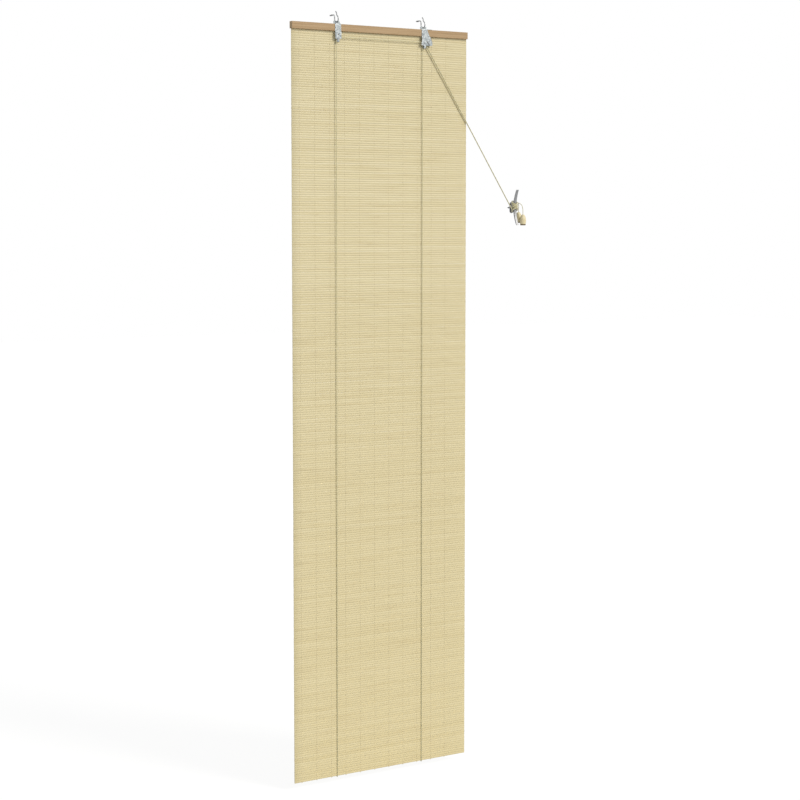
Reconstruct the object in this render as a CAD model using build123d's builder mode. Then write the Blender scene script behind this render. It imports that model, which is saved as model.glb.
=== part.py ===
# A roll-up bamboo blind, hung on two screw hooks, with its cords wound on a wall cleat.
# Millimetres. +X is the blind's right, -Y is the room, +Z is up.
# The origin is on the wall, midway between the two hook screws.
# The blind is described by "front", the distance in front of the mat's middle,
# and by "height", measured up from the top of the head rail.

from build123d import *
from math import acos, atan2, cos, pi, radians, sin, sqrt, tan
import os

os.makedirs("parts", exist_ok=True)

# Driving dimensions of the blind
BLIND_WIDTH = 600.0
BLIND_DROP = 2200.0
MAT_THICKNESS = 2.0
MAT_SHIFT = 2.2
WALL_GAP = 20.0
HANG_DROP = 27.5

# Reeds and the threads that weave them
REED_PITCH = 6.5
GROOVE_DEPTH = 0.5
GROOVE_WIDTH = 1.3
SLIT_HEIGHT = 0.5
REEDS_PER_SLIT = 4
THREAD_SPACING = 50.0
THREAD_EDGE = 25.0
THREAD_WIDTH = 1.1
THREAD_THICKNESS = 0.3
SLIT_MARGIN = 1.5

# Head rail
BATTEN_HEIGHT = 20.0
BATTEN_THICKNESS = 6.5
RAIL_OVERHANG = 0.5
MAT_RECESS = 1.0
BATTEN_EASING = 0.8
NAIL_COUNT = 7
NAIL_EDGE = 30.0
NAIL_RADIUS = 0.8
NAIL_HEAD_RADIUS = 1.9
NAIL_HEAD_THICKNESS = 0.6
NAIL_BITE = 4.0
NAIL_CLEARANCE = 0.05
STAPLE_RADIUS = 0.5
STAPLE_BITE = 4.0
STAPLE_CLEARANCE = 0.05
SCREW_RADIUS = 1.2
SCREW_BITE = 5.0
SCREW_HEAD_RADIUS = 2.8
SCREW_HEAD_THICKNESS = 1.5
SCREW_CLEARANCE = 0.05

# Hanging brackets, each folded from one strip of sheet steel
HOOK_SPACING = 296.6
SHEET = 1.0
BEND_RADIUS = 1.2
BRACKET_WIDTH = 20.0
LEG_WIDTH = 8.0
LEG_LENGTH = 16.0
LUG_HEIGHT = 9.0
LUG_GAP = 0.2
EYE_HEIGHT = 4.0
EYE_RADIUS = 2.8
SEAT_CLEARANCE = 0.05
JOG_START = 21.0
JOG_END = 23.5
CHEEK_FRONT = 1.6
CHEEK_WIDTH = 10.0
CHEEK_TOP = 31.0
TONGUE_WIDTH = 6.5
TONGUE_DROP = 9.0
CORNER_RADIUS = 2.0
LEFT_PLATE_BOTTOM = 42.5
RIGHT_PLATE_BOTTOM = 46.5
PEEP_HOLE_RADIUS = 1.6
PEEP_HOLE_DEPTH = 31.0
PLATE_TOP_REACH = 6.5
PLATE_REACH = 26.0
PLATE_SHOULDER = 37.0
PLATE_HEEL = 12.5
PLATE_HEEL_TOP = 30.0
CHEEK_REACH = 20.0
BLANK_MARGIN = 4.0
BLANK_SIZE = 90.0

# Lift cords and pulleys
CORD_RADIUS = 1.0
LANE_SPACING = 2.1
PULLEY_SHIFT = -1.5
PULLEY_DEPTH = 40.5
PULLEY_WIDTH = 6.2
RIM_RADIUS = 4.2
RIM_THICKNESS = 0.7
GROOVE_RADIUS = 2.3
CORD_CLEARANCE = 0.3
CORD_TOP = 6.0
ANCHOR_SHIFT = -8.0
ANCHOR_KNOT_RADIUS = 1.9
ROUTE_SLACK = 0.1
EXIT_RUN = 12.0
AXLE_RADIUS = 1.1
AXLE_CLEARANCE = 0.05
AXLE_HEAD_RADIUS = 2.2
AXLE_HEAD_THICKNESS = 0.8
SIDE_CLEARANCE = 0.3

# Cord brake
ROLLER_RADIUS = 5.0
ROLLER_TEETH = 20
TOOTH_DEPTH = 0.4
BRAKE_PIN_RADIUS = 1.2
ROLLER_CLEARANCE = 0.08
SLOT_CLEARANCE = 0.3
PINCH_ANGLE = 35.0
BRAKE_TRAVEL = 11.0
BRAKE_SLOPE = 46.0

# Screw hooks
WIRE_RADIUS = 1.6
SCREW_DEPTH = 20.0
BOWL_RADIUS = 11.5
HOOK_TIP_CHAMFER = 1.0
HOOK_POINT = 4.0
HOOK_TIP_STEPS = [(3.1, 14.0), (10.5, 20.5), (11.0, 25.5), (16.5, 31.0)]
HOOK_NECK_BEND = 7.0
HOOK_BOWL_BENDS = [11.3, 8.8]
HOOK_TIP_BEND = 4.0

# Wall cleat
CLEAT_X = 486.2
CLEAT_HEIGHT = -521.0
CLEAT_LENGTH = 108.0
CLEAT_WIDTH = 8.0
CLEAT_STAND = 35.0
CLEAT_FOOT_LENGTH = 34.0
CLEAT_FOOT_THICKNESS = 3.0
CLEAT_FOOT_WIDTH = 13.0
CLEAT_POST = 16.0
CLEAT_WAIST = 22.5
HORN_TIP = 3.6
HORN_RISE = 4.0
CLEAT_EASING = 1.0
CLEAT_SCREW_RADIUS = 2.0
CLEAT_SHANK_RADIUS = 2.2
CLEAT_HEAD_RADIUS = 3.6
CLEAT_HEAD_THICKNESS = 1.8

# Cord winding on the cleat, the loose ends and the wooden acorns
WINDING_WIDTH = 24.0
WINDING_HEIGHT = 34.0
WINDING_SHIFT = -1.5
WINDING_LIFT = 4.0
WINDING_CORNER = 7.0
WINDING_BACK = -9.0
WINDING_FRONT = 9.0
WINDING_EASING = 5.0
WINDING_BITE = 0.8
WINDING_ENTRY = -527.5
ENTRY_FRONT = 1.2
ACORN_HEIGHT = 33.0
ACORN_RADIUS = 9.75
ACORN_BORE = 1.4
ACORN_MOUTH = 6.0
ACORN_HOLLOW = 15.0
ACORN_NECK = 3.6
ACORN_SHOULDER = 7.8
ACORN_SHOULDER_RISE = 9.0
ACORN_BELLY_DROP = 1.6
ACORN_SPOTS = {"left": (505.2, 15.5, -559.0), "right": (505.2, -7.0, -551.5)}
KNOT_RADIUS = 2.6
KNOT_HEIGHT = 5.0

# Loose ends of the cords, each point as its x, its front and its height
TAIL_ROUTES = {
    "left": [
        (489.5, 5.0, -514.0),
        (497.0, 8.5, -509.8),
        (503.6, 12.0, -514.6),
        (505.1, 14.6, -523.5),
        (505.2, 15.5, -533.5),
    ],
    "right": [
        (491.9, -2.4, -508.4),
        (497.3, -4.0, -505.4),
        (502.9, -5.6, -507.4),
        (505.3, -6.6, -513.4),
        (505.2, -7.0, -523.0),
    ],
}

# Places that follow from the driving dimensions
rail_face = MAT_THICKNESS / 2 + BATTEN_THICKNESS
rail_middle = -BATTEN_HEIGHT / 2
thread_face = MAT_THICKNESS / 2 + THREAD_THICKNESS
cheek_inner = CHEEK_FRONT + SHEET
pulley_middle = cheek_inner + SIDE_CLEARANCE + PULLEY_WIDTH / 2
plate_inner = cheek_inner + 2 * SIDE_CLEARANCE + PULLEY_WIDTH
plate_face = plate_inner + SHEET
left_bracket_x = -HOOK_SPACING / 2
right_bracket_x = HOOK_SPACING / 2
left_pulley_x = left_bracket_x + PULLEY_SHIFT
right_pulley_x = right_bracket_x + PULLEY_SHIFT
wrap_radius = GROOVE_RADIUS + CORD_CLEARANCE + CORD_RADIUS
back_lane = pulley_middle - LANE_SPACING / 2
front_lane = pulley_middle + LANE_SPACING / 2
winding_x = CLEAT_X + WINDING_SHIFT
winding_height = CLEAT_HEIGHT + WINDING_LIFT


def yz(front, height):
    """A point of a side view, from its distance in front of the mat and its height."""
    return (-(WALL_GAP + front), height - HANG_DROP)


def xz(x, height):
    """A point of a front view."""
    return (x, height - HANG_DROP)


def spot(x, front, height):
    """A point of the blind in space."""
    return (x, -(WALL_GAP + front), height - HANG_DROP)


def side_plane(x):
    """The side view's plane at x, facing the blind's right."""
    return Plane.YZ.offset(x)


def front_plane(front):
    """The front view's plane, facing the room."""
    return Plane.XZ.offset(WALL_GAP + front)


# Front batten of the head rail, planed pine with its room-side edges eased
blind_left = MAT_SHIFT - BLIND_WIDTH / 2
batten_length = BLIND_WIDTH + 2 * RAIL_OVERHANG
nail_pitch = (BLIND_WIDTH - 2 * NAIL_EDGE) / (NAIL_COUNT - 1)
nail_spots = [xz(blind_left + NAIL_EDGE + i * nail_pitch, rail_middle) for i in range(NAIL_COUNT)]
batten_middle = MAT_THICKNESS / 2 + BATTEN_THICKNESS / 2

with BuildPart() as front_rail_batten:
    with BuildSketch(side_plane(blind_left - RAIL_OVERHANG)) as batten_section:
        with Locations(yz(batten_middle, rail_middle)):
            Rectangle(BATTEN_THICKNESS, BATTEN_HEIGHT)
        fillet(batten_section.vertices().group_by(Axis.X)[0], BATTEN_EASING)
    extrude(amount=batten_length)
    with BuildSketch(front_plane(MAT_THICKNESS / 2)):
        with Locations(*nail_spots):
            Circle(NAIL_RADIUS + NAIL_CLEARANCE)
    extrude(amount=NAIL_BITE + NAIL_CLEARANCE, mode=Mode.SUBTRACT)

front_rail_batten.part.label = "front_rail_batten"
export_step(front_rail_batten.part, "parts/front_rail_batten.step")

# Back batten, with holes for the nails, the bracket screws and the cord staples
left_anchor_x = left_pulley_x - wrap_radius + ANCHOR_SHIFT
right_anchor_x = right_pulley_x - wrap_radius + ANCHOR_SHIFT
staple_reach = CORD_RADIUS + CORD_CLEARANCE + STAPLE_RADIUS
staple_spots = []
for anchor_x in (left_anchor_x, right_anchor_x):
    staple_spots.append(xz(anchor_x - staple_reach, rail_middle))
    staple_spots.append(xz(anchor_x + staple_reach, rail_middle))
leg_spots = [xz(left_bracket_x, rail_middle), xz(right_bracket_x, rail_middle)]

with BuildPart() as back_rail_batten:
    with BuildSketch(side_plane(blind_left - RAIL_OVERHANG)) as batten_section:
        with Locations(yz(-batten_middle, rail_middle)):
            Rectangle(BATTEN_THICKNESS, BATTEN_HEIGHT)
        fillet(batten_section.vertices().group_by(Axis.X)[-1], BATTEN_EASING)
    extrude(amount=batten_length)
    with BuildSketch(front_plane(-MAT_THICKNESS / 2)):
        with Locations(*nail_spots):
            Circle(NAIL_RADIUS + NAIL_CLEARANCE)
    extrude(amount=-BATTEN_THICKNESS, mode=Mode.SUBTRACT)
    with BuildSketch(front_plane(-rail_face)):
        with Locations(*leg_spots):
            Circle(SCREW_RADIUS + SCREW_CLEARANCE)
    extrude(amount=SCREW_BITE + SCREW_CLEARANCE, mode=Mode.SUBTRACT)
    with BuildSketch(front_plane(-rail_face)):
        with Locations(*staple_spots):
            Circle(STAPLE_RADIUS + STAPLE_CLEARANCE)
    extrude(amount=STAPLE_BITE + STAPLE_CLEARANCE, mode=Mode.SUBTRACT)

back_rail_batten.part.label = "back_rail_batten"
export_step(back_rail_batten.part, "parts/back_rail_batten.step")

# Nails driven from the back through both battens and the mat
with BuildPart() as rail_nails:
    with BuildSketch(front_plane(-rail_face)):
        with Locations(*nail_spots):
            Circle(NAIL_RADIUS)
    extrude(amount=BATTEN_THICKNESS + MAT_THICKNESS + NAIL_BITE)
    with BuildSketch(front_plane(-rail_face)):
        with Locations(*nail_spots):
            Circle(NAIL_HEAD_RADIUS)
    extrude(amount=-NAIL_HEAD_THICKNESS)

rail_nails.part.label = "rail_nails"
export_step(rail_nails.part, "parts/rail_nails.step")

# Mat of flat bamboo reeds: flat where the rail grips it, then a ridge for each reed
reed_count = round((BLIND_DROP - BATTEN_HEIGHT) / REED_PITCH)
reed_pitch = (BLIND_DROP - BATTEN_HEIGHT) / reed_count
crest = MAT_THICKNESS / 2
valley = crest - GROOVE_DEPTH
front_outline = [yz(crest, -MAT_RECESS)]
back_outline = [yz(-crest, -MAT_RECESS)]
for i in range(1, reed_count):
    groove_height = -BATTEN_HEIGHT - i * reed_pitch
    for depth, offset in ((crest, GROOVE_WIDTH / 2), (valley, 0.0), (crest, -GROOVE_WIDTH / 2)):
        front_outline.append(yz(depth, groove_height + offset))
        back_outline.append(yz(-depth, groove_height + offset))
front_outline.append(yz(crest, -BLIND_DROP))
back_outline.append(yz(-crest, -BLIND_DROP))

slit_width = BLIND_WIDTH - 2 * (THREAD_EDGE - THREAD_WIDTH / 2 - SLIT_MARGIN)
slit_spots = []
for i in range(REEDS_PER_SLIT, reed_count, REEDS_PER_SLIT):
    slit_spots.append(xz(MAT_SHIFT, -BATTEN_HEIGHT - i * reed_pitch))

with BuildPart() as bamboo_mat:
    with BuildSketch(side_plane(blind_left)):
        with BuildLine():
            Polyline(*front_outline, *reversed(back_outline), close=True)
        make_face()
    extrude(amount=BLIND_WIDTH)
    with BuildSketch(front_plane(-crest)):
        with Locations(*slit_spots):
            Rectangle(slit_width, SLIT_HEIGHT)
        with Locations(*nail_spots):
            Circle(NAIL_RADIUS + NAIL_CLEARANCE)
    extrude(amount=MAT_THICKNESS, mode=Mode.SUBTRACT)

bamboo_mat.part.label = "bamboo_mat"
export_step(bamboo_mat.part, "parts/bamboo_mat.step")

# Warp threads, each laid down the front, round the lowest reed and up the back
thread_count = int((BLIND_WIDTH - 2 * THREAD_EDGE) / THREAD_SPACING) + 1
thread_span = (thread_count - 1) * THREAD_SPACING
thread_loop = [
    yz(thread_face, -BATTEN_HEIGHT),
    yz(thread_face, -BLIND_DROP - THREAD_THICKNESS),
    yz(-thread_face, -BLIND_DROP - THREAD_THICKNESS),
    yz(-thread_face, -BATTEN_HEIGHT),
    yz(-crest, -BATTEN_HEIGHT),
    yz(-crest, -BLIND_DROP),
    yz(crest, -BLIND_DROP),
    yz(crest, -BATTEN_HEIGHT),
]

with BuildPart() as warp_threads:
    for i in range(thread_count):
        thread_x = MAT_SHIFT - thread_span / 2 + i * THREAD_SPACING
        with BuildSketch(side_plane(thread_x - THREAD_WIDTH / 2)):
            with BuildLine():
                Polyline(*thread_loop, close=True)
            make_face()
        extrude(amount=THREAD_WIDTH)

warp_threads.part.label = "warp_threads"
export_step(warp_threads.part, "parts/warp_threads.step")

# Brackets: one strip runs up the rail's back, folds into a doubled lug for the hook,
# crosses the rail, comes down its front as a plate and folds up behind the pulley
lug_line = (SHEET + LUG_GAP) / 2
web_line = SHEET / 2
cheek_line = CHEEK_FRONT + SHEET / 2
plate_line = plate_inner + SHEET / 2


def strip_line(tongue_end):
    """The strip's middle line in side view, down to the fold at tongue_end."""
    return [
        yz(-rail_face - SHEET / 2, -LEG_LENGTH),
        yz(-rail_face - SHEET / 2, web_line),
        yz(-lug_line, web_line),
        yz(-lug_line, LUG_HEIGHT - SHEET / 2),
        yz(lug_line, LUG_HEIGHT - SHEET / 2),
        yz(lug_line, web_line),
        yz(rail_face + SHEET / 2, web_line),
        yz(rail_face + SHEET / 2, -JOG_START),
        yz(plate_line, -JOG_END),
        yz(plate_line, -tongue_end + SHEET / 2),
        yz(cheek_line, -tongue_end + SHEET / 2),
        yz(cheek_line, -CHEEK_TOP),
    ]


lug_bend = lug_line - LUG_GAP / 4
bend_radii = [BEND_RADIUS, SHEET, lug_bend, lug_bend, SHEET, BEND_RADIUS, BEND_RADIUS, BEND_RADIUS]
bend_radii = bend_radii + [BEND_RADIUS, BEND_RADIUS]

left_tongue_end = LEFT_PLATE_BOTTOM + TONGUE_DROP
right_tongue_end = RIGHT_PLATE_BOTTOM + TONGUE_DROP
half_width = BRACKET_WIDTH / 2
half_tongue = TONGUE_WIDTH / 2
half_cheek = CHEEK_WIDTH / 2
cheek_side = CHEEK_FRONT - BEND_RADIUS / 2
between = (cheek_inner + plate_inner) / 2

left_plate_outline = [
    (-half_width, BLANK_MARGIN),
    (half_width, BLANK_MARGIN),
    (half_width, -LEFT_PLATE_BOTTOM),
    (half_tongue, -LEFT_PLATE_BOTTOM),
    (half_tongue, -left_tongue_end - BLANK_MARGIN),
    (-half_tongue, -left_tongue_end - BLANK_MARGIN),
    (-half_tongue, -LEFT_PLATE_BOTTOM),
    (-half_width, -LEFT_PLATE_BOTTOM),
]
right_plate_outline = [
    (-half_width, BLANK_MARGIN),
    (PLATE_TOP_REACH, BLANK_MARGIN),
    (PLATE_REACH, -PLATE_SHOULDER),
    (PLATE_REACH, -RIGHT_PLATE_BOTTOM),
    (half_tongue, -RIGHT_PLATE_BOTTOM),
    (half_tongue, -right_tongue_end - BLANK_MARGIN),
    (-half_tongue, -right_tongue_end - BLANK_MARGIN),
    (-half_tongue, -RIGHT_PLATE_BOTTOM),
    (-PLATE_HEEL, -RIGHT_PLATE_BOTTOM),
    (-half_width, -PLATE_HEEL_TOP),
]
left_cheek_outline = [
    (-half_cheek, -CHEEK_TOP + BLANK_MARGIN),
    (half_cheek, -CHEEK_TOP + BLANK_MARGIN),
    (half_cheek, -LEFT_PLATE_BOTTOM - CORNER_RADIUS),
    (half_tongue, -left_tongue_end + BEND_RADIUS),
    (half_tongue, -left_tongue_end - BLANK_MARGIN),
    (-half_tongue, -left_tongue_end - BLANK_MARGIN),
    (-half_tongue, -left_tongue_end + BEND_RADIUS),
    (-half_cheek, -LEFT_PLATE_BOTTOM - CORNER_RADIUS),
]
right_cheek_outline = [
    (-half_cheek, -CHEEK_TOP + BLANK_MARGIN),
    (CHEEK_REACH, -CHEEK_TOP + BLANK_MARGIN),
    (CHEEK_REACH, -RIGHT_PLATE_BOTTOM),
    (half_cheek, -RIGHT_PLATE_BOTTOM - CORNER_RADIUS),
    (half_tongue, -right_tongue_end + BEND_RADIUS),
    (half_tongue, -right_tongue_end - BLANK_MARGIN),
    (-half_tongue, -right_tongue_end - BLANK_MARGIN),
    (-half_tongue, -right_tongue_end + BEND_RADIUS),
    (-half_cheek, -RIGHT_PLATE_BOTTOM - CORNER_RADIUS),
]

# Both brackets, each folded from its blank and trimmed to its outlines. The right one
# has a flared plate, with slots for the cord brake
pinch_reach = wrap_radius + CORD_RADIUS + CORD_CLEARANCE + ROLLER_RADIUS
pinch_x = right_pulley_x + pinch_reach * cos(radians(PINCH_ANGLE))
pinch_height = -PULLEY_DEPTH + pinch_reach * sin(radians(PINCH_ANGLE))
rest_x = pinch_x + BRAKE_TRAVEL * cos(radians(BRAKE_SLOPE))
rest_height = pinch_height - BRAKE_TRAVEL * sin(radians(BRAKE_SLOPE))
slot_middle = xz((pinch_x + rest_x) / 2, (pinch_height + rest_height) / 2)
slot_width = 2 * (BRAKE_PIN_RADIUS + SLOT_CLEARANCE)
trim_reach = half_width + BLANK_SIZE / 2
bracket_forms = {
    "left": (left_bracket_x, half_width, half_width, left_tongue_end),
    "right": (right_bracket_x, PLATE_HEEL, PLATE_REACH, right_tongue_end),
}
plate_outlines = {"left": left_plate_outline, "right": right_plate_outline}
cheek_outlines = {"left": left_cheek_outline, "right": right_cheek_outline}

for name, (middle, left_reach, right_reach, tongue_end) in bracket_forms.items():
    plate_corners = [xz(middle + x, height) for x, height in plate_outlines[name]]
    cheek_corners = [xz(middle + x, height) for x, height in cheek_outlines[name]]
    with BuildPart() as bracket:
        with BuildSketch(side_plane(middle - left_reach)):
            with BuildLine():
                FilletPolyline(*strip_line(tongue_end), radius=bend_radii)
            trace(line_width=SHEET)
        extrude(amount=left_reach + right_reach)
        with BuildSketch(front_plane(between)):
            with Locations(xz(middle, -BLANK_SIZE / 2)):
                Rectangle(BLANK_SIZE, BLANK_SIZE)
            with BuildSketch(mode=Mode.SUBTRACT) as plate_outline:
                with BuildLine():
                    Polyline(*plate_corners, close=True)
                make_face()
                fillet(plate_outline.vertices(), CORNER_RADIUS)
        extrude(amount=plate_face - between, mode=Mode.SUBTRACT)
        with BuildSketch(front_plane(between)):
            with Locations(xz(middle, -BLANK_SIZE / 2 - CHEEK_TOP + BLANK_MARGIN)):
                Rectangle(BLANK_SIZE, BLANK_SIZE)
            with BuildLine():
                Polyline(*cheek_corners, close=True)
            make_face(mode=Mode.SUBTRACT)
        extrude(amount=cheek_side - between, mode=Mode.SUBTRACT)
        with BuildSketch(front_plane(-rail_face - SHEET)):
            with Locations(xz(middle - half_width, -LEG_LENGTH), xz(middle + half_width, -LEG_LENGTH)):
                Rectangle(BRACKET_WIDTH - LEG_WIDTH, 2 * LEG_LENGTH)
        extrude(amount=SHEET, mode=Mode.SUBTRACT)
        with BuildSketch(front_plane(-rail_face - SHEET)):
            with Locations(xz(middle + trim_reach, 0), xz(middle - trim_reach, 0)):
                Rectangle(BLANK_SIZE, BLANK_SIZE)
        extrude(amount=2 * rail_face + SHEET - BEND_RADIUS, mode=Mode.SUBTRACT)
        with BuildSketch(front_plane(-rail_face - SHEET)):
            with Locations(xz(middle, rail_middle)):
                Circle(SCREW_RADIUS + 2 * SCREW_CLEARANCE)
        extrude(amount=SHEET, mode=Mode.SUBTRACT)
        with BuildSketch(front_plane(-rail_face)):
            with Locations(xz(middle, EYE_HEIGHT)):
                Circle(EYE_RADIUS)
        extrude(amount=2 * rail_face, mode=Mode.SUBTRACT)
        with BuildSketch(front_plane(CHEEK_FRONT - SHEET)):
            with Locations(xz(middle + PULLEY_SHIFT, -PULLEY_DEPTH)):
                Circle(AXLE_RADIUS + AXLE_CLEARANCE)
            if name == "right":
                with Locations(slot_middle):
                    SlotCenterToCenter(BRAKE_TRAVEL, slot_width, rotation=-BRAKE_SLOPE)
        extrude(amount=plate_face, mode=Mode.SUBTRACT)
        if name == "left":
            with BuildSketch(front_plane(between)):
                with Locations(xz(middle, -PEEP_HOLE_DEPTH)):
                    Circle(PEEP_HOLE_RADIUS)
            extrude(amount=plate_face - between, mode=Mode.SUBTRACT)
    bracket.part.label = name + "_bracket"
    export_step(bracket.part, "parts/" + name + "_bracket.step")

# Wood screws through the bracket legs into the back batten
with BuildPart() as bracket_screws:
    with BuildSketch(front_plane(-rail_face - SHEET)):
        with Locations(*leg_spots):
            Circle(SCREW_RADIUS)
    extrude(amount=SHEET + SCREW_BITE)
    with BuildSketch(front_plane(-rail_face - SHEET)):
        with Locations(*leg_spots):
            Circle(SCREW_HEAD_RADIUS)
    extrude(amount=-SCREW_HEAD_THICKNESS)

bracket_screws.part.label = "bracket_screws"
export_step(bracket_screws.part, "parts/bracket_screws.step")

# Pulleys, one wide groove each, turning on headed axles riveted through the brackets
for name, pulley_x in (("left", left_pulley_x), ("right", right_pulley_x)):
    with BuildPart() as pulley:
        with BuildSketch(side_plane(pulley_x)) as pulley_section:
            with BuildLine():
                Polyline(
                    yz(pulley_middle - PULLEY_WIDTH / 2, AXLE_RADIUS + AXLE_CLEARANCE - PULLEY_DEPTH),
                    yz(pulley_middle - PULLEY_WIDTH / 2, RIM_RADIUS - PULLEY_DEPTH),
                    yz(pulley_middle - PULLEY_WIDTH / 2 + RIM_THICKNESS, RIM_RADIUS - PULLEY_DEPTH),
                    yz(pulley_middle - PULLEY_WIDTH / 2 + RIM_THICKNESS, GROOVE_RADIUS - PULLEY_DEPTH),
                    yz(pulley_middle + PULLEY_WIDTH / 2 - RIM_THICKNESS, GROOVE_RADIUS - PULLEY_DEPTH),
                    yz(pulley_middle + PULLEY_WIDTH / 2 - RIM_THICKNESS, RIM_RADIUS - PULLEY_DEPTH),
                    yz(pulley_middle + PULLEY_WIDTH / 2, RIM_RADIUS - PULLEY_DEPTH),
                    yz(pulley_middle + PULLEY_WIDTH / 2, AXLE_RADIUS + AXLE_CLEARANCE - PULLEY_DEPTH),
                    close=True,
                )
            make_face()
        revolve(axis=Axis(spot(pulley_x, 0, -PULLEY_DEPTH), (0, 1, 0)))
    pulley.part.label = name + "_pulley"
    export_step(pulley.part, "parts/" + name + "_pulley.step")

    with BuildPart() as axle:
        with BuildSketch(front_plane(CHEEK_FRONT)):
            with Locations(xz(pulley_x, -PULLEY_DEPTH)):
                Circle(AXLE_RADIUS)
        extrude(amount=plate_face - CHEEK_FRONT)
        with BuildSketch(front_plane(plate_face)):
            with Locations(xz(pulley_x, -PULLEY_DEPTH)):
                Circle(AXLE_HEAD_RADIUS)
        extrude(amount=AXLE_HEAD_THICKNESS)
        fillet(axle.faces().sort_by(Axis.Y)[0].edges(), AXLE_HEAD_THICKNESS / 2)
    axle.part.label = name + "_pulley_axle"
    export_step(axle.part, "parts/" + name + "_pulley_axle.step")

# Brake pin, which slides in the slots, and the fluted roller that turns on it
brake_spot = xz(rest_x, rest_height)
with BuildPart() as brake_pin:
    with BuildSketch(front_plane(CHEEK_FRONT)):
        with Locations(brake_spot):
            Circle(BRAKE_PIN_RADIUS)
    extrude(amount=plate_face + SIDE_CLEARANCE - CHEEK_FRONT)
    with BuildSketch(front_plane(plate_face + SIDE_CLEARANCE)):
        with Locations(brake_spot):
            Circle(AXLE_HEAD_RADIUS)
    extrude(amount=AXLE_HEAD_THICKNESS)
    fillet(brake_pin.faces().sort_by(Axis.Y)[0].edges(), AXLE_HEAD_THICKNESS / 2)

brake_pin.part.label = "brake_pin"
export_step(brake_pin.part, "parts/brake_pin.step")

with BuildPart() as brake_roller:
    with BuildSketch(front_plane(cheek_inner + SIDE_CLEARANCE)):
        flutes = []
        for i in range(2 * ROLLER_TEETH):
            reach = ROLLER_RADIUS - TOOTH_DEPTH * (i % 2)
            turn = radians(180 * i / ROLLER_TEETH)
            flutes.append(xz(rest_x + reach * cos(turn), rest_height + reach * sin(turn)))
        with BuildLine():
            Polyline(*flutes, close=True)
        make_face()
        with Locations(brake_spot):
            Circle(BRAKE_PIN_RADIUS + ROLLER_CLEARANCE, mode=Mode.SUBTRACT)
    extrude(amount=PULLEY_WIDTH)

brake_roller.part.label = "brake_roller"
export_step(brake_roller.part, "parts/brake_roller.step")

# Screw hooks: a round wire with a screw point, a bowl for the lug and a bent-back tip
bowl_height = EYE_HEIGHT + EYE_RADIUS - SEAT_CLEARANCE - WIRE_RADIUS
hook_route = [
    (-WALL_GAP - SCREW_DEPTH, HANG_DROP),
    (-BOWL_RADIUS, HANG_DROP),
    (-BOWL_RADIUS, bowl_height),
    (BOWL_RADIUS, bowl_height),
]
for lean, rise in HOOK_TIP_STEPS:
    hook_route.append((BOWL_RADIUS - lean, bowl_height + rise))
hook_radii = [HOOK_NECK_BEND, *HOOK_BOWL_BENDS, HOOK_TIP_BEND, HOOK_TIP_BEND, HOOK_TIP_BEND]

for name, hook_x in (("left", left_bracket_x), ("right", right_bracket_x)):
    with BuildPart() as hook:
        with BuildLine():
            FilletPolyline(*[spot(hook_x, f, h) for f, h in hook_route], radius=hook_radii)
        with BuildSketch(front_plane(-WALL_GAP - SCREW_DEPTH)):
            with Locations(xz(hook_x, HANG_DROP)):
                Circle(WIRE_RADIUS)
        sweep()
        wall_end = hook.faces().sort_by(Axis.Y)[-1].edges()
        chamfer(wall_end, HOOK_POINT, WIRE_RADIUS - HOOK_TIP_CHAMFER / 2)
    hook.part.label = name + "_hook"
    export_step(hook.part, "parts/" + name + "_hook.step")

# Cleat on the wall: a foot, a post and two horns, cast in one piece
cleat_half = CLEAT_LENGTH / 2
foot_half = CLEAT_FOOT_LENGTH / 2
post_half = CLEAT_POST / 2
foot_face = -WALL_GAP + CLEAT_FOOT_THICKNESS
waist = -WALL_GAP + CLEAT_WAIST
tip_front = -WALL_GAP + CLEAT_STAND
horn_under = waist - 2 * HORN_TIP

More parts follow.
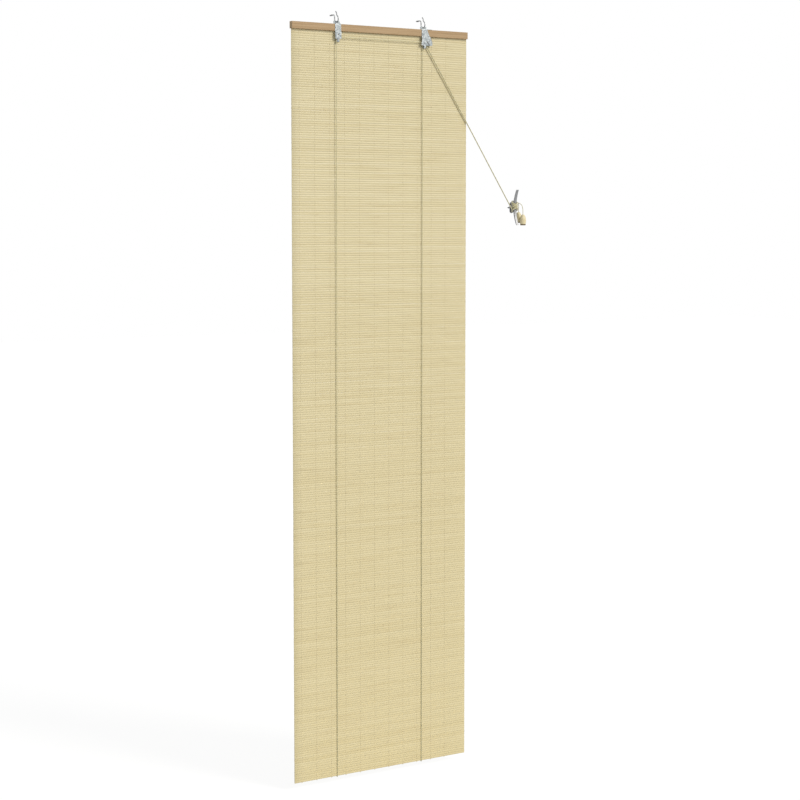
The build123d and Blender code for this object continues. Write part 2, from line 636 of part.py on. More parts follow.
with BuildPart() as cleat:
    with BuildSketch(side_plane(CLEAT_X - CLEAT_FOOT_WIDTH / 2)):
        with BuildLine():
            front_curve = ThreePointArc(
                yz(tip_front, CLEAT_HEIGHT - cleat_half),
                yz(waist, CLEAT_HEIGHT),
                yz(tip_front, CLEAT_HEIGHT + cleat_half),
            )
            Line(front_curve @ 1, yz(tip_front - HORN_TIP, CLEAT_HEIGHT + cleat_half))
            ThreePointArc(
                yz(tip_front - HORN_TIP, CLEAT_HEIGHT + cleat_half),
                yz(horn_under + HORN_RISE, CLEAT_HEIGHT + cleat_half / 2),
                yz(horn_under, CLEAT_HEIGHT + post_half),
            )
            Line(yz(horn_under, CLEAT_HEIGHT + post_half), yz(foot_face, CLEAT_HEIGHT + post_half))
            Line(yz(foot_face, CLEAT_HEIGHT + post_half), yz(foot_face, CLEAT_HEIGHT + foot_half))
            Line(yz(foot_face, CLEAT_HEIGHT + foot_half), yz(-WALL_GAP, CLEAT_HEIGHT + foot_half))
            Line(yz(-WALL_GAP, CLEAT_HEIGHT + foot_half), yz(-WALL_GAP, CLEAT_HEIGHT - foot_half))
            Line(yz(-WALL_GAP, CLEAT_HEIGHT - foot_half), yz(foot_face, CLEAT_HEIGHT - foot_half))
            Line(yz(foot_face, CLEAT_HEIGHT - foot_half), yz(foot_face, CLEAT_HEIGHT - post_half))
            Line(yz(foot_face, CLEAT_HEIGHT - post_half), yz(horn_under, CLEAT_HEIGHT - post_half))
            ThreePointArc(
                yz(horn_under, CLEAT_HEIGHT - post_half),
                yz(horn_under + HORN_RISE, CLEAT_HEIGHT - cleat_half / 2),
                yz(tip_front - HORN_TIP, CLEAT_HEIGHT - cleat_half),
            )
            Line(yz(tip_front - HORN_TIP, CLEAT_HEIGHT - cleat_half), front_curve @ 0)
        make_face()
    extrude(amount=CLEAT_FOOT_WIDTH)
    with BuildSketch(front_plane(foot_face)):
        with Locations(xz(CLEAT_X, CLEAT_HEIGHT)):
            Rectangle(2 * CLEAT_FOOT_WIDTH, CLEAT_LENGTH + BLANK_MARGIN)
            SlotOverall(CLEAT_LENGTH + 2 * BLANK_MARGIN, CLEAT_WIDTH, rotation=90, mode=Mode.SUBTRACT)
    extrude(amount=CLEAT_STAND, mode=Mode.SUBTRACT)
    with BuildSketch(front_plane(-WALL_GAP)):
        with Locations(xz(CLEAT_X, CLEAT_HEIGHT)):
            Rectangle(2 * CLEAT_FOOT_WIDTH, CLEAT_LENGTH + BLANK_MARGIN)
            SlotOverall(CLEAT_FOOT_LENGTH, CLEAT_FOOT_WIDTH, rotation=90, mode=Mode.SUBTRACT)
    extrude(amount=CLEAT_FOOT_THICKNESS, mode=Mode.SUBTRACT)
    fillet(cleat.faces().filter_by(Axis.X).edges().filter_by(GeomType.CIRCLE), CLEAT_EASING)
    with BuildSketch(front_plane(-WALL_GAP)):
        with Locations(xz(CLEAT_X, CLEAT_HEIGHT)):
            Circle(CLEAT_SHANK_RADIUS + SCREW_CLEARANCE)
    extrude(amount=CLEAT_STAND, mode=Mode.SUBTRACT)
    with BuildSketch(front_plane(waist)):
        with Locations(xz(CLEAT_X, CLEAT_HEIGHT)):
            Circle(CLEAT_HEAD_RADIUS + SCREW_CLEARANCE)
    extrude(amount=CLEAT_HEAD_THICKNESS, mode=Mode.SUBTRACT)

cleat.part.label = "cleat"
export_step(cleat.part, "parts/cleat.step")

# Screw through the cleat's post: a head, a plain shank, and the threaded end in the wall
with BuildPart() as cleat_screw:
    with BuildSketch(front_plane(-WALL_GAP - SCREW_DEPTH)):
        with Locations(xz(CLEAT_X, CLEAT_HEIGHT)):
            Circle(CLEAT_SCREW_RADIUS)
    extrude(amount=SCREW_DEPTH)
    with BuildSketch(front_plane(-WALL_GAP)):
        with Locations(xz(CLEAT_X, CLEAT_HEIGHT)):
            Circle(CLEAT_SHANK_RADIUS)
    extrude(amount=CLEAT_WAIST)
    with BuildSketch(front_plane(waist)):
        with Locations(xz(CLEAT_X, CLEAT_HEIGHT)):
            Circle(CLEAT_HEAD_RADIUS)
    extrude(amount=CLEAT_HEAD_THICKNESS)
    screw_end = cleat_screw.faces().sort_by(Axis.Y)[-1].edges()
    chamfer(screw_end, HOOK_POINT, CLEAT_SCREW_RADIUS - HOOK_TIP_CHAMFER / 2)

cleat_screw.part.label = "cleat_screw"
export_step(cleat_screw.part, "parts/cleat_screw.step")

# Cord winding, the outer shape of the turns, closed round the cleat and its screw
with BuildPart() as cord_winding:
    with BuildSketch(front_plane(WINDING_BACK)):
        with Locations(xz(winding_x, winding_height)):
            RectangleRounded(WINDING_WIDTH, WINDING_HEIGHT, WINDING_CORNER)
    extrude(amount=WINDING_FRONT - WINDING_BACK)
    fillet(cord_winding.faces().filter_by(Axis.Y).edges(), WINDING_EASING)
    add(cleat.part, mode=Mode.SUBTRACT)
    with BuildSketch(front_plane(WINDING_BACK)):
        with Locations(xz(CLEAT_X, CLEAT_HEIGHT)):
            Circle(CLEAT_HEAD_RADIUS + SCREW_CLEARANCE)
    extrude(amount=waist + CLEAT_HEAD_THICKNESS + SCREW_CLEARANCE - WINDING_BACK, mode=Mode.SUBTRACT)

cord_winding.part.label = "cord_winding"
export_step(cord_winding.part, "parts/cord_winding.step")

# Lift cords: down the blind's back, round its lowest reed, up the front and over the pulleys
turn_front = thread_face + CORD_RADIUS + ROUTE_SLACK
back_run = rail_face + CORD_CLEARANCE + CORD_RADIUS
turn_height = -BLIND_DROP - turn_front
wrap_top = -PULLEY_DEPTH + wrap_radius
entry_x = winding_x - WINDING_WIDTH / 2 + WINDING_BITE
entry_span = sqrt((entry_x - right_pulley_x) ** 2 + (WINDING_ENTRY + PULLEY_DEPTH) ** 2)
entry_angle = atan2(WINDING_ENTRY + PULLEY_DEPTH, entry_x - right_pulley_x)
tangent_angle = entry_angle + acos(wrap_radius / entry_span)
exit_turn = radians(90) - tangent_angle
exit_corner_x = right_pulley_x + wrap_radius * tan(exit_turn / 2)


def pull_points(lane):
    """Where a cord leaves the right pulley's wrap, its exit and its entry to the winding."""
    corner = Vector(*spot(exit_corner_x, lane, wrap_top))
    entry = Vector(*spot(entry_x, ENTRY_FRONT + lane - back_lane, WINDING_ENTRY))
    exit_point = corner + (entry - corner).normalized() * EXIT_RUN
    return corner, exit_point, entry


left_cord_x = left_pulley_x - wrap_radius
right_cord_x = right_pulley_x - wrap_radius
wrap_bend = wrap_radius - ROUTE_SLACK
turn_bend = turn_front - ROUTE_SLACK
left_corner, left_exit, left_entry = pull_points(front_lane)
right_corner, right_exit, right_entry = pull_points(back_lane)
left_lift_route = [
    spot(left_anchor_x, -back_run, -CORD_TOP),
    spot(left_anchor_x, -back_run, -BATTEN_HEIGHT - CORD_TOP),
    spot(left_cord_x, -turn_front, turn_height),
    spot(left_cord_x, turn_front, turn_height),
    spot(left_cord_x, front_lane, wrap_top),
    left_corner,
    left_exit,
]
right_lift_route = [
    spot(right_anchor_x, -back_run, -CORD_TOP),
    spot(right_anchor_x, -back_run, -BATTEN_HEIGHT - CORD_TOP),
    spot(right_cord_x, -turn_front, turn_height),
    spot(right_cord_x, turn_front, turn_height),
    spot(right_cord_x, back_lane, wrap_top),
    right_corner,
    right_exit,
]
lift_radii = [BLIND_WIDTH, turn_bend, turn_bend, wrap_bend, wrap_bend]

for name, route in (("left", left_lift_route), ("right", right_lift_route)):
    with BuildPart() as lift_cord:
        with BuildLine() as lift_path:
            FilletPolyline(*route, radius=lift_radii)
        with BuildSketch(Plane(route[0], z_dir=(0, 0, -1))):
            Circle(CORD_RADIUS)
        sweep()
    lift_cord.part.label = name + "_lift_cord"
    export_step(lift_cord.part, "parts/" + name + "_lift_cord.step")
    length = lift_path.wire().length
    tube_volume = length * pi * CORD_RADIUS ** 2
    print(name, "lift cord", length, "volume ratio", lift_cord.part.volume / tube_volume)
    print("radii", lift_radii)

# Pull cords, drawn tight from the brake to the cleat
for name, start, end in (("left", left_exit, left_entry), ("right", right_exit, right_entry)):
    with BuildPart() as pull_cord:
        with BuildLine() as pull_path:
            Line(start, end)
        with BuildSketch(Plane(start, z_dir=end - start)):
            Circle(CORD_RADIUS)
        sweep()
    pull_cord.part.label = name + "_pull_cord"
    export_step(pull_cord.part, "parts/" + name + "_pull_cord.step")
    print(name, "pull cord", pull_path.wire().length)

# Staples that hold the cords' top ends to the back batten, and the knots above them
staple_crown = back_run + CORD_RADIUS + CORD_CLEARANCE + STAPLE_RADIUS
with BuildPart() as cord_staples:
    for anchor_x in (left_anchor_x, right_anchor_x):
        staple_route = [
            spot(anchor_x - staple_reach, -rail_face + STAPLE_BITE, rail_middle),
            spot(anchor_x - staple_reach, -staple_crown, rail_middle),
            spot(anchor_x + staple_reach, -staple_crown, rail_middle),
            spot(anchor_x + staple_reach, -rail_face + STAPLE_BITE, rail_middle),
        ]
        with BuildLine():
            FilletPolyline(*staple_route, radius=2 * STAPLE_RADIUS)
        with BuildSketch(front_plane(-rail_face + STAPLE_BITE)):
            with Locations(xz(anchor_x - staple_reach, rail_middle)):
                Circle(STAPLE_RADIUS)
        sweep()

cord_staples.part.label = "cord_staples"
export_step(cord_staples.part, "parts/cord_staples.step")

with BuildPart() as anchor_knots:
    for anchor_x in (left_anchor_x, right_anchor_x):
        with BuildSketch(Plane(spot(anchor_x, -back_run - ANCHOR_KNOT_RADIUS + CORD_RADIUS, -CORD_TOP))):
            Circle(ANCHOR_KNOT_RADIUS)
        extrude(amount=2 * ANCHOR_KNOT_RADIUS)
    fillet(anchor_knots.edges().filter_by(GeomType.CIRCLE), ANCHOR_KNOT_RADIUS / 2)

anchor_knots.part.label = "anchor_knots"
export_step(anchor_knots.part, "parts/anchor_knots.step")

# Turned wooden acorns on the cords' loose ends, hollow below, each held by a knot
acorn_half = ACORN_HEIGHT / 2
knot_top = acorn_half - ACORN_HEIGHT + ACORN_HOLLOW

for name, (acorn_x, acorn_front, acorn_height) in ACORN_SPOTS.items():
    top = acorn_height + acorn_half
    bottom = acorn_height - acorn_half
    with BuildPart() as acorn:
        with BuildSketch(side_plane(acorn_x)):
            with BuildLine():
                Line(yz(acorn_front, top), yz(acorn_front + ACORN_NECK, top))
                Spline(
                    yz(acorn_front + ACORN_NECK, top),
                    yz(acorn_front + ACORN_SHOULDER, acorn_height + ACORN_SHOULDER_RISE),
                    yz(acorn_front + ACORN_RADIUS, acorn_height - ACORN_BELLY_DROP),
                    yz(acorn_front + ACORN_SHOULDER, bottom),
                )
                Line(yz(acorn_front + ACORN_SHOULDER, bottom), yz(acorn_front, bottom))
                Line(yz(acorn_front, bottom), yz(acorn_front, top))
            make_face()
        revolve(axis=Axis(spot(acorn_x, acorn_front, acorn_height), (0, 0, 1)))
        with BuildSketch(Plane(spot(acorn_x, acorn_front, bottom))):
            Circle(ACORN_MOUTH)
        extrude(amount=ACORN_HOLLOW, mode=Mode.SUBTRACT)
        with BuildSketch(Plane(spot(acorn_x, acorn_front, bottom))):
            Circle(ACORN_BORE)
        extrude(amount=ACORN_HEIGHT, mode=Mode.SUBTRACT)
    acorn.part.label = name + "_acorn"
    export_step(acorn.part, "parts/" + name + "_acorn.step")

with BuildPart() as acorn_knots:
    for acorn_x, acorn_front, acorn_height in ACORN_SPOTS.values():
        with BuildSketch(Plane(spot(acorn_x, acorn_front, acorn_height + knot_top - KNOT_HEIGHT))):
            Circle(KNOT_RADIUS)
        extrude(amount=KNOT_HEIGHT)
    fillet(acorn_knots.edges().filter_by(GeomType.CIRCLE), KNOT_RADIUS / 2)

acorn_knots.part.label = "acorn_knots"
export_step(acorn_knots.part, "parts/acorn_knots.step")

# Loose ends, from the winding over its side and down into the acorns


def tail_radii(points):
    """The largest tangent arc at each corner that its two runs allow."""
    radii = []
    for before, corner, after in zip(points, points[1:], points[2:]):
        first = corner - before
        second = after - corner
        shorter = min(first.length, second.length)
        radii.append(0.45 * shorter / tan(radians(first.get_angle(second)) / 2))
    return radii


for name, route in TAIL_ROUTES.items():
    acorn_x, acorn_front, acorn_height = ACORN_SPOTS[name]
    points = [Vector(*spot(*point)) for point in route]
    points.append(Vector(*spot(acorn_x, acorn_front, acorn_height + knot_top)))
    radii = tail_radii(points)
    with BuildPart() as cord_tail:
        with BuildLine() as tail_path:
            FilletPolyline(*points, radius=radii)
        with BuildSketch(Plane(points[0], z_dir=points[1] - points[0])):
            Circle(CORD_RADIUS)
        sweep()
    cord_tail.part.label = name + "_cord_tail"
    export_step(cord_tail.part, "parts/" + name + "_cord_tail.step")
    print(name, "tail", tail_path.wire().length, "radii", [round(r, 1) for r in radii])
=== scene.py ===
import math
import random

import bpy
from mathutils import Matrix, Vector


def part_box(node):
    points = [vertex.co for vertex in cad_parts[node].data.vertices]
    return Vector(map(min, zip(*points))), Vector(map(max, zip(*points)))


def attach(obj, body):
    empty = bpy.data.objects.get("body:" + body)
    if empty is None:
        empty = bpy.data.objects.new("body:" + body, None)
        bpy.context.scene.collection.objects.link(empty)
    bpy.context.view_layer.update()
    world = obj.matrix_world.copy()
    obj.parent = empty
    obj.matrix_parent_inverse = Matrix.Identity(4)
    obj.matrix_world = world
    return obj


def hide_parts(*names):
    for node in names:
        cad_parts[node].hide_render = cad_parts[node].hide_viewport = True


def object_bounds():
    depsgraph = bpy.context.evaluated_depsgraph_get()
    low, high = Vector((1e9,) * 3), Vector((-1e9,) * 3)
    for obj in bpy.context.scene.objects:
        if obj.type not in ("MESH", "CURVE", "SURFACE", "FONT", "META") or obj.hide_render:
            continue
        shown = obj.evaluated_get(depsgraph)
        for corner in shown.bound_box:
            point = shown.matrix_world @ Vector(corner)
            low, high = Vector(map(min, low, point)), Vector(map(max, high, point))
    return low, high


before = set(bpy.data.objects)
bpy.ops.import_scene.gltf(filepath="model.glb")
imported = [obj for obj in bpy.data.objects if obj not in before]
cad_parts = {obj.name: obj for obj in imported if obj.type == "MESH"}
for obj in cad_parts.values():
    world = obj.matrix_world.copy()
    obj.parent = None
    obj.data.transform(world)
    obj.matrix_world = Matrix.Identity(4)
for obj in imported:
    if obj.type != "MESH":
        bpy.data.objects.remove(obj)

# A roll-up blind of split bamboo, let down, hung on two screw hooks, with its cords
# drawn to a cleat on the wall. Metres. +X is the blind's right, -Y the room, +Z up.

cad_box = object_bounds()
bpy.ops.object.select_all(action="DESELECT")

# The studio
# A pale floor just below the blind and white all round, as for a catalogue picture. The
# camera sees them near white, and the sky and one soft lamp light at a plain level.
FLOOR_GAP = 0.02
FLOOR_SIZE = 40.0
FLOOR_COLOUR = "#F2F2F0"
FLOOR_GLOW = 1.09
FLOOR_WHITENESS = 0.82
SKY_COLOUR = "#F2F4F7"
SKY_LIGHT = 0.52
LAMP_COLOUR = "#FFFAF2"
LAMP_STRENGTH = 2.3
LAMP_SOFTNESS = 22  # degrees across
LAMP_FROM = (0.5, -1.0, 0.78)
WHITE = (1.0, 1.0, 1.0, 1.0)


def colour(code):
    """A linear colour from its sRGB hex code."""
    channels = [int(code[i:i + 2], 16) / 255 for i in (1, 3, 5)]
    linear = [c / 12.92 if c <= 0.04045 else ((c + 0.055) / 1.055) ** 2.4
              for c in channels]
    return (*linear, 1.0)


def node(tree, kind, values=(), links=(), **settings):
    """Add a node, give its settings and its sockets' values, and link its inputs."""
    added = tree.nodes.new("ShaderNode" + kind)
    for name, value in settings.items():
        setattr(added, name, value)
    for socket, value in dict(values).items():
        added.inputs[socket].default_value = value
    for socket, source in dict(links).items():
        tree.links.new(source, added.inputs[socket])
    return added


def seen_white(tree):
    """1 for what the camera, a mirror or glass sees, and 0 for light on the object."""
    path = node(tree, "LightPath").outputs
    seen = node(tree, "Math", links={0: path["Is Camera Ray"], 1: path["Is Glossy Ray"]},
                operation="MAXIMUM")
    seen = node(tree, "Math", links={0: seen.outputs[0], 1: path["Is Transmission Ray"]},
                operation="MAXIMUM")
    return seen.outputs[0]


sky = bpy.data.worlds.new("sky")
bpy.context.scene.world = sky
sky.use_nodes = True
sky.node_tree.nodes.clear()
sky_light = node(sky.node_tree, "Background",
                 {"Color": colour(SKY_COLOUR), "Strength": SKY_LIGHT})
sky_white = node(sky.node_tree, "Background", {"Color": WHITE, "Strength": 1.0})
sky_mix = node(sky.node_tree, "MixShader", links={
    0: seen_white(sky.node_tree), 1: sky_light.outputs[0], 2: sky_white.outputs[0]})
node(sky.node_tree, "OutputWorld", links={"Surface": sky_mix.outputs[0]})

floor_paint = bpy.data.materials.new("matt_white_floor")
floor_paint.use_nodes = True
floor_tree = floor_paint.node_tree
floor_tree.nodes.clear()
floor_matt = node(floor_tree, "BsdfDiffuse", {"Color": colour(FLOOR_COLOUR)})
floor_glow = node(floor_tree, "Emission", {"Color": WHITE, "Strength": FLOOR_GLOW})
floor_share = node(floor_tree, "Math", {1: FLOOR_WHITENESS}, {0: seen_white(floor_tree)},
                   operation="MULTIPLY")
floor_mix = node(floor_tree, "MixShader", links={
    0: floor_share.outputs[0], 1: floor_matt.outputs[0], 2: floor_glow.outputs[0]})
node(floor_tree, "OutputMaterial", links={"Surface": floor_mix.outputs[0]})
bpy.ops.mesh.primitive_plane_add(size=FLOOR_SIZE,
                                 location=(0, 0, cad_box[0][2] - FLOOR_GAP))
floor = bpy.context.object
floor.name = "floor"
bpy.ops.object.transform_apply(location=True, rotation=True, scale=True)
floor.data.materials.append(floor_paint)

bpy.ops.object.light_add(type="SUN")
lamp = bpy.context.object
lamp.data.energy = LAMP_STRENGTH
lamp.data.color = colour(LAMP_COLOUR)[:3]
lamp.data.angle = math.radians(LAMP_SOFTNESS)
lamp.rotation_euler = Vector(LAMP_FROM).to_track_quat("Z", "Y").to_euler()

bpy.context.scene.view_settings.view_transform = "Standard"

# The camera
# It stands before the blind's left, about level with the cleat, and looks a little down,
# with just the shift that keeps the tall blind's sides near upright and all in view.
CAMERA_PLACE = (-2.9012, -4.6728, -0.5968)
CAMERA_TURN = 32.537  # degrees from square on
CAMERA_DIP = 4.687  # degrees
CAMERA_LENS = 83.806
CAMERA_SENSOR = 36
CAMERA_SHIFT = -0.03

bpy.ops.object.camera_add(location=CAMERA_PLACE, rotation=(
    math.radians(90 - CAMERA_DIP), 0, -math.radians(CAMERA_TURN)))
camera = bpy.context.object
camera.data.lens = CAMERA_LENS
camera.data.sensor_width = CAMERA_SENSOR
camera.data.shift_y = CAMERA_SHIFT
bpy.context.scene.camera = camera

# Woven mat
# Flat reeds split from bamboo, 6 mm high and under 2 mm thick, laid edge to edge. Each
# is a little bent, with the darker rings of the cane's nodes at uneven places.
BLIND_WIDTH = 0.600
BLIND_DROP = 2.200
RAIL_TOP = -0.0275
RAIL_HEIGHT = 0.020
MAT_X = 0.0022
MAT_Y = -0.0200
MAT_RECESS = 0.001
REED_PITCH = 0.0065
REED_THICKNESS = 0.0018
REED_CORNER = 0.00022
REED_COLUMNS = 22
REED_GAP = (0.00006, 0.0002)
REED_FULLNESS = (0.94, 1.05)
REED_TRIM = (-0.0004, 0.0002)
REED_END = 0.001
REED_SMOOTHING = 50  # degrees
BOW = 0.00012
BOW_WAVE = 9  # radians a metre
WARP = 0.00008
WARP_WAVE = 7
FULL_TURN = 6.28
CLAMPED_REEDS = 3
TONE_SPREAD = 0.22
RING_WIDTH = 0.0016
RING_CHANCE = 0.8
RING_SHOULDER = 0.25
RING_STRAY = 0.3
RING_BULGE = (0.10, 0.03)
NO_RING = -9
BAMBOO_COLOURS = {0.10: "#C3B58C", 0.42: "#CABE96", 0.58: "#CEC39D", 0.92: "#D4CAA7"}
BAMBOO_RING = "#A48A58"
BAMBOO_AGED = "#D3C07F"
STREAK_MM = (45, 2.2, 2.2)
PATCH_MM = (160, 14, 14)
FIBRE_MM = (18, 0.5, 0.5)
TONE_SHARE = 0.42
PATCH_SHARE = 0.30
FIBRE_SHARE = 0.15
AGED_SHARE = 0.13
AGED_FROM = -0.6
AGED_TO = -2.3
RING_SHARE = 0.32


def length_scale(millimetres):
    """The scale of a pattern whose features are this long, for Object coordinates."""
    return 1000 / millimetres


def new_finish(name, roughness, metallic=0.0):
    """Start a material with its roughness, and give its tree, shader and coordinates."""
    paint = bpy.data.materials.new(name)
    paint.use_nodes = True
    shader = paint.node_tree.nodes["Principled BSDF"]
    shader.inputs["Roughness"].default_value = roughness
    shader.inputs["Metallic"].default_value = metallic
    place = node(paint.node_tree, "TexCoord").outputs["Object"]
    return paint, paint.node_tree, shader, place


def grain_of(tree, place, millimetres, values):
    """Noise whose features are this long along X, Y and Z."""
    drawn_out = node(tree, "Mapping", {"Scale": [length_scale(size) for size in millimetres]},
                     {"Vector": place})
    noise = node(tree, "TexNoise", {"Scale": 1.0, **values}, {"Vector": drawn_out.outputs[0]})
    return noise.outputs["Fac"]


# Split bamboo: straight fibres that show as fine streaks along each reed, no two reeds
# of one tone, a dull wax shine from the cane's skin, and more yellow towards the foot.
split_bamboo, tree, shader, place = new_finish("split_bamboo", 0.5)
tone = node(tree, "Attribute", attribute_name="tone").outputs["Fac"]
ring = node(tree, "Attribute", attribute_name="ring").outputs["Fac"]
tone_shift = node(tree, "CombineXYZ", links={"X": tone})
shifted = node(tree, "VectorMath", links={0: place, 1: tone_shift.outputs[0]}, operation="ADD")
streaks = grain_of(tree, shifted.outputs[0], STREAK_MM, {"Detail": 3.0, "Roughness": 0.6})
patches = grain_of(tree, place, PATCH_MM, {"Detail": 2.0})
fibres = grain_of(tree, shifted.outputs[0], FIBRE_MM, {"Detail": 2.0})
mixed = streaks
for share, other in ((TONE_SHARE, tone), (PATCH_SHARE, patches), (FIBRE_SHARE, fibres)):
    mixed = node(tree, "Mix", {0: share}, {2: mixed, 3: other}).outputs[0]
ramp = node(tree, "ValToRGB", links={"Fac": mixed})
for position in list(BAMBOO_COLOURS)[1:-1]:
    ramp.color_ramp.elements.new(position)
for stop, (position, code) in zip(ramp.color_ramp.elements, BAMBOO_COLOURS.items()):
    stop.position, stop.color = position, colour(code)
height = node(tree, "SeparateXYZ", links={0: place})
low = node(tree, "MapRange", {"From Min": AGED_FROM, "From Max": AGED_TO,
                              "To Min": 0.0, "To Max": AGED_SHARE},
           {"Value": height.outputs["Z"]})
aged = node(tree, "Mix", {7: colour(BAMBOO_AGED)},
            {0: low.outputs[0], 6: ramp.outputs["Color"]}, data_type="RGBA")
ringed_share = node(tree, "Math", {1: RING_SHARE}, {0: ring}, operation="MULTIPLY")
ringed = node(tree, "Mix", {7: colour(BAMBOO_RING)},
              {0: ringed_share.outputs[0], 6: aged.outputs[2]}, data_type="RGBA")
tree.links.new(ringed.outputs[2], shader.inputs["Base Color"])
bump = node(tree, "Bump", {"Strength": 0.35, "Distance": 0.0002}, {"Height": fibres})
tree.links.new(bump.outputs["Normal"], shader.inputs["Normal"])

bpy.ops.object.select_all(action="DESELECT")
bpy.ops.mesh.primitive_cube_add(size=1)
reed = bpy.context.object
reed.scale = (BLIND_WIDTH, REED_THICKNESS, REED_PITCH)
bpy.ops.object.transform_apply(location=True, rotation=True, scale=True)
for shaping in ("bevel", "subdivide"):
    bpy.ops.object.mode_set(mode="EDIT")
    bpy.ops.mesh.select_all(action="DESELECT")
    bpy.ops.object.mode_set(mode="OBJECT")
    for edge in reed.data.edges:
        ends = [reed.data.vertices[v].co for v in edge.vertices]
        edge.select = abs(ends[0].x - ends[1].x) > BLIND_WIDTH / 2
    bpy.ops.object.mode_set(mode="EDIT")
    bpy.ops.mesh.select_mode(type="EDGE")
    if shaping == "bevel":
        bpy.ops.mesh.bevel(offset=REED_CORNER, segments=1)
    else:
        bpy.ops.mesh.subdivide(number_cuts=REED_COLUMNS)
    bpy.ops.object.mode_set(mode="OBJECT")

rng = random.Random(7)
reed_count = round((BLIND_DROP - RAIL_HEIGHT) / REED_PITCH)
pitch = (BLIND_DROP - RAIL_HEIGHT) / reed_count
clamped_pitch = (RAIL_HEIGHT - MAT_RECESS) / CLAMPED_REEDS
column_step = BLIND_WIDTH / (REED_COLUMNS + 1)
base_points = [vertex.co.copy() for vertex in reed.data.vertices]
reeds = []
for index in range(-CLAMPED_REEDS, reed_count):
    copy = reed.copy()
    copy.data = reed.data.copy()
    bpy.context.collection.objects.link(copy)
    step = pitch if index >= 0 else clamped_pitch
    middle = RAIL_TOP - RAIL_HEIGHT - (index + 0.5) * step
    tall = (step - rng.uniform(*REED_GAP)) / REED_PITCH
    thick = rng.uniform(*REED_FULLNESS)
    bow, sway = rng.uniform(-BOW, BOW), rng.uniform(0, FULL_TURN)
    warp, twist = rng.uniform(-WARP, WARP), rng.uniform(0, FULL_TURN)
    trim = rng.uniform(*REED_TRIM)
    tone_value = min(max(rng.gauss(0.5, TONE_SPREAD), 0), 1)
    ring_column = (rng.randrange(2, REED_COLUMNS - 1) if rng.random() < RING_CHANCE
                   else NO_RING)
    stray = rng.uniform(-RING_STRAY, RING_STRAY)
    ring_x = -BLIND_WIDTH / 2 + (ring_column + stray) * column_step
    tones, rings = [], []
    for vertex, base in zip(copy.data.vertices, base_points):
        column = round((base.x + BLIND_WIDTH / 2) / column_step)
        x, swell = base.x, 0.0
        if abs(column - ring_column) <= 1:
            x = ring_x + (column - ring_column) * RING_WIDTH
            if index >= 0:
                swell = 1.0 if column == ring_column else RING_SHOULDER
        if abs(x) > BLIND_WIDTH / 2 - REED_END:
            x += math.copysign(trim, x)
        vertex.co = (
            MAT_X + x,
            MAT_Y + base.y * (thick + RING_BULGE[0] * swell)
            + warp * math.sin(WARP_WAVE * x + twist),
            middle + base.z * (tall + RING_BULGE[1] * swell)
            + bow * math.sin(BOW_WAVE * x + sway))
        tones.append(tone_value)
        rings.append(swell)
    copy.data.attributes.new("tone", "FLOAT", "POINT").data.foreach_set("value", tones)
    copy.data.attributes.new("ring", "FLOAT", "POINT").data.foreach_set("value", rings)
    reeds.append(copy)
bpy.data.objects.remove(reed)
bpy.ops.object.select_all(action="DESELECT")
for copy in reeds:
    copy.select_set(True)
bpy.context.view_layer.objects.active = reeds[0]
bpy.ops.object.join()
mat = bpy.context.object
mat.name = "woven_reeds"
mat.data.materials.clear()
mat.data.materials.append(split_bamboo)
bpy.ops.object.shade_smooth_by_angle(angle=math.radians(REED_SMOOTHING))
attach(mat, "blind")
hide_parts("bamboo_mat")

# Warp threads
# Pairs of cotton threads, knotted at the foot. The two of a pair cross between every two
# reeds, one before a reed and the other behind it. Of the real mat's twelve pairs eleven
# are made, from the left, and the one by the right edge is missing.
THREAD_PAIRS = 11
THREAD_SPACING = 0.050
THREAD_EDGE = 0.025
THREAD_RADIUS = 0.00028
THREAD_APART = 0.9
THREAD_SLANT = 0.5
THREAD_REACH = 0.00122
THREAD_SHOULDER = 0.0021
THREAD_COLOURS = {0.3: "#CDBF97", 0.7: "#EDE4C8"}
LINT_MM = 0.4
THREAD_KNOT_SIZE = 0.0011
THREAD_KNOT_THICKNESS = 0.0009
THREAD_KNOT_FRONT = 0.0006
THREAD_KNOT_DROP = 0.0009
KNOT_POINTS = 24
KNOT_DEPTH = 1.3

cotton_thread, tree, shader, place = new_finish("cotton_thread", 0.9)
lint = node(tree, "TexNoise", {"Scale": length_scale(LINT_MM), "Detail": 3.0},
            {"Vector": place})
ramp = node(tree, "ValToRGB", links={"Fac": lint.outputs["Fac"]})
for stop, (position, code) in zip(ramp.color_ramp.elements, THREAD_COLOURS.items()):
    stop.position, stop.color = position, colour(code)
tree.links.new(ramp.outputs["Color"], shader.inputs["Base Color"])
bump = node(tree, "Bump", {"Strength": 0.5, "Distance": 0.0001},
            {"Height": lint.outputs["Fac"]})
tree.links.new(bump.outputs["Normal"], shader.inputs["Normal"])


def meshed(name, line, paint):
    """A smooth mesh piece of the blind, from a curve."""
    drawn = bpy.data.objects.new("drawn_line", line)
    mesh = bpy.data.meshes.new_from_object(drawn)
    bpy.data.objects.remove(drawn)
    bpy.data.curves.remove(line)
    for polygon in mesh.polygons:
        polygon.use_smooth = True
    mesh.materials.clear()
    mesh.materials.append(paint)
    piece = bpy.data.objects.new(name, mesh)
    bpy.context.collection.objects.link(piece)
    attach(piece, "blind")
    return piece


